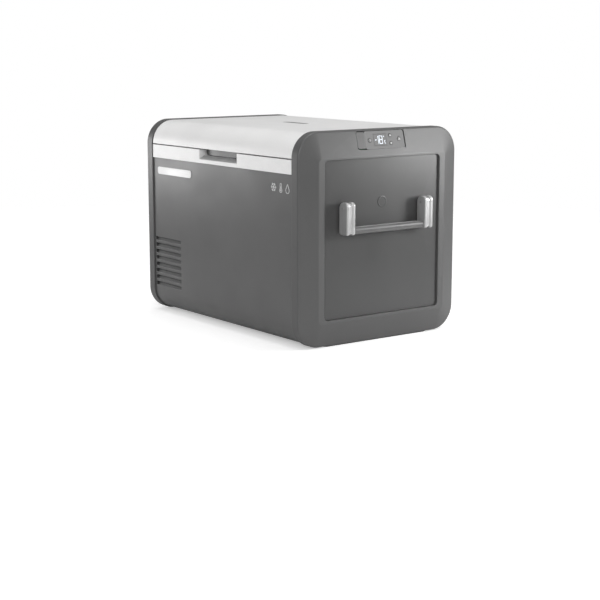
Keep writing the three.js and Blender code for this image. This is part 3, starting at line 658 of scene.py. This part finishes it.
def arm_outline(inset=0.0):
    """The side view of an arm, from its lower back corner round to its upper back edge."""
    top, front, foot, back = 325.5 - inset, 360 - inset, 253 + inset, 330
    corner, hub, toe, heel = 9, 14.5 - inset, 5, 6
    outline = [
        (front - toe + toe * math.sin(t), foot + toe - toe * math.cos(t)) for t in steps_of(90, 8)
    ]
    outline += [
        (front - corner + corner * math.cos(t), top - corner + corner * math.sin(t))
        for t in steps_of(90, 12)
    ]
    outline += [
        (PIVOT_X - hub * math.sin(t), PIVOT_Z + hub * math.cos(t)) for t in steps_of(90, 16)
    ]
    outline += [
        (back + heel - heel * math.cos(t), foot + heel - heel * math.sin(t))
        for t in steps_of(90, 8)
    ]
    kept = []
    for p in outline:
        if not kept or math.hypot(p[0] - kept[-1][0], p[1] - kept[-1][1]) > 0.01:
            kept.append(p)
    return kept


def handle_arm(side_y):
    """One arm of a bail: two rounded rails with a groove between them, hollow behind."""
    half, groove = ARM_WIDTH / 2, 2.7
    arm = prism("arm", arm_outline(2.0), "y", side_y - groove - 1, side_y + groove + 1)
    for low, high in ((-half, -groove), (groove, half)):
        rail = prism("rail", arm_outline(), "y", side_y + low, side_y + high)
        bevel = rail.modifiers.new("round", "BEVEL")
        bevel.width, bevel.segments = 3.0 * MM, 5
        bevel.limit_method, bevel.angle_limit = "ANGLE", math.radians(50)
        cut(arm, [baked(rail)], "UNION")
    cut(arm, [prism("web", rounded(300, 355, 273, 321, 2, 4), "y", side_y - 8, side_y + 8)])
    cut(arm, [prism("slot", rounded(300, 345.5, 273.2, 335, 1, 2), "y", side_y - 8.02, side_y + 8.02)])
    cut(arm, [prism("hole", circle(PIVOT_X, PIVOT_Z, 3.3, 28), "y", side_y - 20, side_y + 20)])
    return arm


def handle_bail(name):
    obj = handle_arm(-ARM_Y)
    cut(obj, [handle_arm(ARM_Y)], "UNION")
    cut(obj, [prism("rod", circle(346, 261.5, 5, 28), "y", -ARM_Y, ARM_Y)], "UNION")
    obj.name = name
    return shade(obj, 40)


def handle_grip(name):
    """A soft sleeve: flattened round section, a little fuller in the middle, with rolled ends."""
    half = ARM_Y - ARM_WIDTH / 2 - 0.3
    stations = [(-half, 1.6), (-half + 0.6, 0.8), (-half + 1.8, 0.2), (-half + 4, 0), (-60, 0.1), (0, 0)]
    stations += [(-y, inset) for y, inset in reversed(stations[:-1])]
    loops = [
        [(a, y, b) for a, b in rounded(335 + i, 357 - i, 253.8 + i, 269.4 - i, 7.2 - i, 9)]
        for y, i in stations
    ]
    obj = loft(name, loops, closed=False)
    cut(obj, [prism("bore", circle(346, 261.5, 5.2, 28), "y", -half - 5, half + 5)])
    return shade(obj, 50)


for side, finish in (("right", lambda o: o), ("left", turned)):
    stands_for(finish(handle_bail("handle_bail_fine_" + side)), "handle_bail_" + side)
    stands_for(finish(handle_grip("handle_grip_fine_" + side)), "handle_grip_" + side)


# ---------- cabinet wall, vents, badge ----------
def u_section(inset, bottom, top, radius, steps=24):
    """The open-topped outline of the cabinet, from the front top round to the back top."""
    y = SHELL_Y - inset
    points = [(-y, top)]
    points += [
        (-y + radius - radius * math.cos(t), bottom + radius - radius * math.sin(t))
        for t in steps_of(90, steps)
    ]
    points += [
        (y - radius + radius * math.sin(t), bottom + radius - radius * math.cos(t))
        for t in steps_of(90, steps)
    ]
    points.append((y, top))
    return points


def cabinet_wall():
    outer = u_section(0, SHELL_BOTTOM, SHELL_TOP, 54)
    inner = u_section(SHELL_WALL, SHELL_BOTTOM + SHELL_WALL, SHELL_TOP, 51)
    n = len(outer)
    verts = [(x, a, b) for x in (-FRAME_IN + 0.3, FRAME_IN - 0.3) for a, b in outer + inner]
    faces = []
    for i in range(n - 1):
        faces += [
            [i, i + 1, 2 * n + i + 1, 2 * n + i],
            [n + i, n + i + 1, 3 * n + i + 1, 3 * n + i],
            [i, i + 1, n + i + 1, n + i],
            [2 * n + i, 2 * n + i + 1, 3 * n + i + 1, 3 * n + i],
        ]
    faces += [[0, n, 3 * n, 2 * n], [n - 1, 2 * n - 1, 4 * n - 1, 3 * n - 1]]
    obj = new_object("cabinet_wall", verts, faces)
    tools = []
    for i in range(VENT_ROWS):
        z = VENT_Z + i * VENT_PITCH
        tools.append(prism("slot", rounded(-289, -171, z - 4.5, z + 4.5, 3, 6), "y", -240, 240))
    tools.append(prism("drain", circle(205, 0, 12, 36), "z", -5, 15))
    cut(obj, tools)
    return soften(obj, 0.9, 3, 30)


def louvres(name, face):
    """Slanted blades in a frame behind the vent slots of the wall at this y."""
    def at(depth):
        return face - math.copysign(depth, face)

    blades = []
    for i in range(VENT_ROWS):
        z = VENT_Z + i * VENT_PITCH
        outline = [(at(3.05), z - 7.0), (at(8.0), z + 2.4), (at(8.0), z + 3.8), (at(3.05), z - 5.6)]
        blades.append(prism("blade", outline, "x", -291, -169))
    for low, high in ((-291.6, -289.6), (-170.4, -168)):
        outline = [(at(3.05), 60), (at(9.6), 60), (at(9.6), 199), (at(3.05), 199)]
        blades.append(prism("post", outline, "x", low, high))
    for low, high in ((58, 64), (187.4, 200)):
        outline = [(at(3.05), low), (at(4.8), low), (at(4.8), high), (at(3.05), high)]
        blades.append(prism("border", outline, "x", -291.6, -168))
    obj = joined(blades)
    obj.name = name
    return piece(shade(obj), "cabinet", "black_plastic", look="vent_plastic")


stands_for(cabinet_wall(), "cabinet_shell")
louvres("vent_louvres_front", -SHELL_Y)
louvres("vent_louvres_back", SHELL_Y)


def bay_lining():
    """The folded sheet that covers the foam round the compressor bay."""
    near, far, ceiling, t = BAY_NEAR, BAY_FAR, BAY_CEILING, BAY_SHEET
    outline = [(near, 380), (near, ceiling), (far, ceiling), (far, 9), (far + t, 9),
               (far + t, ceiling + t), (near + t, ceiling + t), (near + t, 380)]
    sheet = prism("bay_lining", outline, "y", -219, 219)
    room = prism("room", rounded(-219.6, 219.6, 8.6, 440, 50.6, 16), "x", -300, -140)
    cut(sheet, [room], "INTERSECT")
    cut(sheet, [prism("pipe_way", rounded(-45, -4, 166, 184, 4, 6), "x", -160, -150)])
    return piece(soften(sheet, 0.12, 2), "cabinet", "black_plastic")


bay_lining()


def badge():
    """A blank plate with a raised rim."""
    front, back = -SHELL_Y - 1.2, -SHELL_Y - 0.3
    plate = prism("badge_plate", rounded(-272, -118, 348, 366, 6, 10), "y", front, back)
    field = rounded(-270.4, -119.6, 349.6, 364.4, 4.4, 10)
    cut(plate, [prism("field", field, "y", front - 1, front + 0.35)])
    return soften(plate, 0.25, 2)


stands_for(badge(), "front_badge")


def raised_mark(name, outlines):
    """Thin raised marks on the front wall."""
    shapes = [prism("mark", outline, "y", -SHELL_Y - 0.35, -SHELL_Y + 0.4) for outline in outlines]
    obj = joined(shapes)
    obj.name = name
    return piece(shade(obj), "cabinet", "badge_alloy", look="mark_print")


def strip(points, width):
    """An open line as a flat outline of a given width."""
    sides = ([], [])
    for k, p in enumerate(points):
        a, b = Vector(points[max(k - 1, 0)]), Vector(points[min(k + 1, len(points) - 1)])
        across = (b - a).normalized().orthogonal() * width / 2
        sides[0].append(tuple(Vector(p) + across))
        sides[1].append(tuple(Vector(p) - across))
    return sides[0] + sides[1][::-1]


def ring_strips(points, width):
    """A closed line in two halves that meet."""
    half = len(points) // 2
    return [strip(points[:half + 1], width), strip(points[half:] + points[:1], width)]


def frost_marks():
    """Three plain signs: a frost star, a thermometer and a drop."""
    mid_z, line = 355.5, 1.3
    star = []
    for k in range(6):
        turn = Matrix.Rotation(math.radians(60 * k), 2)
        for path in ([(0, 0), (10.2, 0)], [(5.2, 0), (8.4, 3.0)], [(5.2, 0), (8.4, -3.0)]):
            ends = [turn @ Vector(p) for p in path]
            star.append(strip([(222 + p.x, mid_z + p.y) for p in ends], line))
    raised_mark("mark_frost", star)
    tube = [(249 + 2.6 * math.cos(t), 363 + 2.6 * math.sin(t)) for t in steps_of(180, 12)]
    bulb = [(249 + 4.6 * math.cos(t), 350.4 + 4.6 * math.sin(t))
            for t in (math.radians(124 + 292 * i / 28) for i in range(29))]
    filling = [circle(249, 350.4, 1.9, 24), strip([(249, 351), (249, 359)], line)]
    raised_mark("mark_thermometer", ring_strips(tube + bulb, line) + filling)
    drop = [(274 + 6.4 * math.cos(t), 351.9 + 6.4 * math.sin(t))
            for t in (math.radians(150 + 240 * i / 30) for i in range(31))]
    raised_mark("mark_drop", ring_strips([(274, 365.8)] + drop, line))


frost_marks()


# ---------- lid ----------
def lid_section(inset, z0, steps=28):
    y = LID_Y - inset
    r = LID_R - inset
    points = [(-y, z0), (y, z0)]
    points += [(LID_Y - LID_R + r * math.cos(t), LID_TOP - LID_R + r * math.sin(t))
               for t in (math.radians(4 + 86 * i / steps) for i in range(steps + 1))]
    points += [(-(LID_Y - LID_R) - r * math.sin(t), LID_TOP - LID_R + r * math.cos(t))
               for t in (math.radians(86 * i / steps) for i in range(steps + 1))]
    return points


def lid_skin():
    obj = prism("lid_skin", lid_section(0, LID_Z0), "x", -LID_HALF, LID_HALF)
    inner = prism("inner", lid_section(LID_WALL, LID_Z0 - 5), "x", -LID_HALF + LID_WALL, LID_HALF - LID_WALL)
    rear = prism("rear", rounded(-300, 300, 200, 240, 1, 1), "z", 400, 426)
    cut(obj, [inner])
    cut(obj, [rear])
    cut(obj, [prism("inlay", rounded(-54, 40, -6, 16, 10.9, 12), "z", LID_TOP - 0.8, LID_TOP + 2)])
    return soften(obj, 1.0, 4, 30)


stands_for(lid_skin(), "lid_shell")
inlay = prism("lid_inlay", rounded(-53.6, 39.6, -5.6, 15.6, 10.5, 14), "z", LID_TOP - 1.2, LID_TOP - 0.35)
piece(soften(inlay, 0.2, 2), "lid", "panel_plastic")


def rectangle_loop(z, grow, corner, steps=12, half=(252, 166)):
    return [(a, b, z) for a, b in rounded(-half[0] - grow, half[0] + grow, -half[1] - grow, half[1] + grow, corner + grow, steps)]


def gasket():
    profile = [(8.6, 426.1), (8.6, 421.6), (9.6, 420.1), (11.4, 420.0), (13.0, 421.2),
               (14.6, 420.0), (16.4, 420.1), (17.4, 421.6), (17.4, 426.1)]
    return shade(loft("gasket_lips", [rectangle_loop(z, g, 22.5) for g, z in profile]), 60)


stands_for(gasket(), "lid_gasket")
refined("lid_liner", 1.2, 3)


def collar():
    """The light rim round the mouth, with the scoop under the latch."""
    edge, y, z0, z1 = FRAME_IN - 0.3, LID_Y, 387.8, 419.6
    obj = prism("collar_rim", rounded(-edge, edge, -y, y, 0.2, 1), "z", z0, z1)
    cut(obj, [prism("mouth", rounded(-255, 255, -169, 169, 28, 10), "z", 380, 430)])
    cut(obj, [prism("seat", rounded(-258.4, 258.4, -172.4, 172.4, 31.4, 10), "z", z1 - 4, 430)])
    scoop = [(-y - 2, 395.1), (-210, 405.5), (-186, 405.5), (-186, 430), (-y - 2, 430)]
    tools = [prism("scoop", scoop, "x", -79.5, 79.5)]
    for s in (-1, 1):
        tools.append(prism("hinge_seat", rounded(s * 190 - 31, s * 190 + 31, 215.5, 240, 0.5, 1), "z", 402.5, 430))
    cut(obj, tools)
    return soften(obj, 1.0, 3, 25)


piece(collar(), "cabinet", "light_plastic", ("top_collar", "latch_receiver"))
# A darker rubbery strip over the front slope of the latch scoop: its darker tone is painted shade on that slope.
tray = prism("scoop_shade_strip", [(-224.2, 397.15), (-211, 405.1), (-211.4, 405.6), (-224.5, 397.75)], "x", -79.3, 79.3)
piece(soften(tray, 0.2, 2), "cabinet", "light_plastic", look="scoop_painted_shade")


# ---------- the tub and its basket ----------
def basket():
    x0, x1, y, z0, z1 = -112.4, 244.4, 158.4, 60.0, 393.5
    rims = []
    for z in (z0, 143, 226, 309):
        rims.append([(a, b, z) for a, b in rounded(x0, x1, -y, y, 18, 8)])
    rim_mesh = wires("basket_rims", rims, 1.5, cyclic=True)
    top = wires("basket_top", [[(a, b, z1) for a, b in rounded(x0, x1, -y, y, 18, 8)]], 2.4, cyclic=True)
    uprights = []
    for i in range(13):
        x = x0 + 20 + i * (x1 - x0 - 40) / 12
        path = [(x, -y + 2.6, z1), (x, -y + 2.6, z0 + 1.5), (x, y - 2.6, z0 + 1.5), (x, y - 2.6, z1)]
        uprights.append(bent(path, 10))
    for i in range(11):
        b = -y + 20 + i * (2 * y - 40) / 10
        path = [(x0 + 2.6, b, z1), (x0 + 2.6, b, z0 + 3.6), (x1 - 2.6, b, z0 + 3.6), (x1 - 2.6, b, z1)]
        uprights.append(bent(path, 10))
    rods = wires("basket_uprights", uprights, 1.15)
    feet = [
        lathe("foot", [(0, 50.5), (4, 50.5), (4.6, 51.2), (4.6, 58), (3.4, 61), (0, 61)], (x, b, 0), "z", 20)
        for x in (-62, 184) for b in (-96, 96)
    ]
    obj = joined([rim_mesh, top, rods, *feet])
    obj.name = "basket_wires"
    return shade(obj, 50)


stands_for(basket(), "wire_basket")
refined("inner_liner", 1.0, 3)


# ---------- display ----------
def on_display(obj):
    obj.data.transform(placed(DISPLAY))
    return obj


def bar(u0, u1, v0, v1, low=-2.05, high=-1.85):
    return prism("bar", [(u0, v0), (u1, v0), (u1, v1), (u0, v1)], "z", low, high)


SEGMENTS = {  # which bars of a seven-bar digit are lit: top, upper sides, middle, lower sides, foot
    "-": "g",
    "1": "bc",
    "8": "abcdefg",
    "C": "adef",
}


def digit(sign, u, v, w, h, t=1.25):
    half = h / 2
    gap = 0.25
    shapes = {
        "a": (u + t, u + w - t, v + half - t, v + half),
        "g": (u + t, u + w - t, v - t / 2, v + t / 2),
        "d": (u + t, u + w - t, v - half, v - half + t),
        "b": (u + w - t, u + w, v + gap, v + half - gap),
        "c": (u + w - t, u + w, v - half + gap, v - gap),
        "f": (u, u + t, v + gap, v + half - gap),
        "e": (u, u + t, v - half + gap, v - gap),
    }
    return [bar(*shapes[s]) for s in SEGMENTS[sign]]


def arc_strip(u, v, r, width, start, end, low, high, steps=24):
    outline = []
    for i in range(steps + 1):
        t = math.radians(start + (end - start) * i / steps)
        outline.append((u + r * math.cos(t), v + r * math.sin(t)))
    for i in range(steps, -1, -1):
        t = math.radians(start + (end - start) * i / steps)
        outline.append((u + (r - width) * math.cos(t), v + (r - width) * math.sin(t)))
    return prism("arc", outline, "z", low, high)


refined("display_panel", 0.35, 3)
refined("display_screen", 0.3, 3)
refined("usb_cover", 0.5, 3)
lit = []
for sign, u, w in (("-", -18.6, 7.0), ("1", -15.4, 8.0), ("8", -5.2, 9.4)):
    lit += digit(sign, u, 0, w, 18.5, 1.2)
lit += digit("C", 9.6, -5.4, 4.2, 7.6, 0.9)
lit.append(arc_strip(8.4, 7.2, 1.3, 0.6, 0, 359.5, -2.05, -1.85, 20))
lit = joined(lit)
lit.name = "display_digits"
piece(on_display(shade(lit)), "cabinet", "display_glass", look="lit_segment")

BUTTONS = {  # across, up and radius
    "power_button": (-32.7, 0, 5),
    "up_button": (27.5, 9, 4.4),
    "down_button": (27.5, -9, 4.4),
    "set_button": (52, 0, 5),
}
ICON_LOW, ICON_HIGH = -1.45, -1.28
for node, (u, v, r) in BUTTONS.items():
    profile = [(0, -5.2), (r, -5.2), (r, -1.9), (r - 0.35, -1.5), (r - 0.9, -1.4), (0, -1.42)]
    cap = lathe(node + "_cap", profile, (u, v, 0), "z", 40)
    stands_for(on_display(shade(cap, 30)), node)
    if node == "power_button":
        shapes = [
            arc_strip(u, v, 2.6, 0.55, 125, 415, ICON_LOW, ICON_HIGH),
            bar(u - 0.28, u + 0.28, v + 0.6, v + 3.0, ICON_LOW, ICON_HIGH),
        ]
    elif node == "set_button":
        shapes = [
            arc_strip(u, v, 2.6, 0.5, 0, 359.5, ICON_LOW, ICON_HIGH),
            prism("dot", circle(u, v, 1.0, 20), "z", ICON_LOW, ICON_HIGH),
        ]
    else:
        s = 1 if node == "up_button" else -1
        outline = [(u - 2.2, v - s * 1.3), (u + 2.2, v - s * 1.3), (u, v + s * 2.0)]
        shapes = [prism("arrow", outline, "z", ICON_LOW, ICON_HIGH)]
    icon = joined(shapes)
    icon.name = node + "_icon"
    piece(on_display(shade(icon)), BODY_OF[node], "button_plastic", look="mark_print")


# ---------- the other CAD nodes: rounded edges for most, their materials for the rest; screws ---
FINE = {
    "handle_bracket_right": 0.5, "handle_bracket_left": 0.5,
    "handle_pin_right_front": 0.6, "handle_pin_right_rear": 0.6,
    "handle_pin_left_front": 0.6, "handle_pin_left_rear": 0.6,
    "foot_strip_right": 0.8, "foot_strip_left": 0.8,
    "hinge_base_left": 0.6, "hinge_base_right": 0.6,
    "hinge_leaf_left": 0.5, "hinge_leaf_right": 0.5,
    "hinge_pin_left": 0.4, "hinge_pin_right": 0.4,
    "latch_paddle": 0.8, "latch_claw": 0.3, "latch_pin": 0.4, "latch_strike": 0.4,
    "drain_plug": 0.7, "power_inlet": 0.6, "interior_light": 0.8,
    "compressor": 1.2, "compressor_tray": 0.5, "fan_shroud": 0.7,
    "power_module": 0.8, "display_board": 0.2,
}
for node, width in FINE.items():
    refined(node, width, 3)

for node in ("cabinet_foam", "lid_foam", "condenser", "fan_rotor", "evaporator_coil", "discharge_pipe",
             "filter_drier", "handle_spring_right", "handle_spring_left", "latch_spring"):
    obj = frame["nodes"][node]
    obj.data.materials.clear()
    obj.data.materials.append(LOOKS[SLOT_OF[node]])

for side, s in (("left", -1), ("right", 1)):
    for k, dx in enumerate((-24, 24)):
        screw(f"hinge_screw_{side}_{k}", (s * 190 + dx, 222.6, 407.5), "y", "cabinet", 2.4)
    for k, y in enumerate((-185, 185)):
        screw(f"base_screw_{side}_{k}", (s * 301, y * 0.85, 4.0), "-z", "cabinet", 2.4)


# ---------- studio ----------
def camera():
    data = bpy.data.cameras.new("camera")
    data.sensor_width = 36
    data.lens = 86.2
    data.clip_end = 100
    obj = bpy.data.objects.new("camera", data)
    bpy.context.scene.collection.objects.link(obj)
    obj.location = (2.804, -2.059, 0.683)
    obj.rotation_euler = (math.radians(90 - 10.40), 0, math.radians(53.54))
    bpy.context.scene.camera = obj


def softbox(name, place, target, size, power, colour=(1, 1, 1)):
    data = bpy.data.lights.new(name, "AREA")
    data.shape = "RECTANGLE"
    data.size, data.size_y = size
    data.energy = power
    data.color = colour
    obj = bpy.data.objects.new(name, data)
    bpy.context.scene.collection.objects.link(obj)
    obj.location = place
    obj.rotation_euler = (Vector(target) - Vector(place)).to_track_quat("-Z", "Y").to_euler()
    obj.visible_camera = False


def backdrop():
    """A pale floor that fades into the white room some way out."""
    look = Look("studio_floor")
    tone = look.mix(look.spread(look.noise(1.5, 3), 0, 1), grey(0.80), grey(0.83))
    look.link(tone, "Base Color")
    look.link(look.spread(look.noise(40, 4), 0.6, 0.75), "Roughness")
    look.bump((look.noise(300, 3), 0.05))
    look.set(Emission_Color=(1, 1, 1, 1))
    path = look.nodes.new("ShaderNodeLightPath")
    far = look.nodes.new("ShaderNodeVectorMath")
    far.operation = "LENGTH"
    look.links.new(look.place, far.inputs[0])
    glow = look.spread(far.outputs["Value"], 0.42, 0.75, 0.8, 1.7)
    look.link(look.math("MULTIPLY", path.outputs["Is Camera Ray"], glow), "Emission Strength")
    clear = look.nodes.new("ShaderNodeBsdfTransparent")
    blend = look.nodes.new("ShaderNodeMixShader")
    look.links.new(look.spread(far.outputs["Value"], 0, 1, 0.9, 2.6), blend.inputs[0])
    look.links.new(look.shader.outputs[0], blend.inputs[1])
    look.links.new(clear.outputs[0], blend.inputs[2])
    look.links.new(blend.outputs[0], look.nodes["Material Output"].inputs["Surface"])
    obj = prism("studio_floor", circle(0, 0, 2700, 96), "z", -20, 0)
    obj.data.materials.append(look.material)


def world(seen, light):
    """A white room: one brightness for the camera, another for its light."""
    made = bpy.data.worlds.new("studio")
    made.use_nodes = True
    nodes, links = made.node_tree.nodes, made.node_tree.links
    room = nodes["Background"]
    room.inputs["Color"].default_value = (1, 1, 1, 1)
    room.inputs["Strength"].default_value = light
    white = nodes.new("ShaderNodeBackground")
    white.inputs["Strength"].default_value = seen
    white.inputs["Color"].default_value = (1, 1, 1, 1)
    path = nodes.new("ShaderNodeLightPath")
    blend = nodes.new("ShaderNodeMixShader")
    links.new(path.outputs["Is Camera Ray"], blend.inputs[0])
    links.new(room.outputs[0], blend.inputs[1])
    links.new(white.outputs[0], blend.inputs[2])
    links.new(blend.outputs[0], nodes["World Output"].inputs["Surface"])
    bpy.context.scene.world = made


camera()
backdrop()
world(1.0, 0.245)
softbox("end", (0.95, 0.80, 0.52), (0.33, 0.12, 0.38), (0.35, 0.35), 8.2)
softbox("end_high", (0.85, 0.62, 0.72), (0.33, 0.12, 0.38), (0.35, 0.35), 1.4)
softbox("front", (-0.95, -0.72, 0.42), (-0.15, -0.22, 0.33), (0.4, 0.4), 3.0)
softbox("fill", (2.3, -1.9, 1.3), (0.2, 0, 0.25), (1.4, 1.4), 40)
softbox("top", (0.0, 0.0, 2.6), (0, 0, 0.2), (2.6, 2.6), 44)
bpy.context.scene.view_settings.view_transform = "Standard"
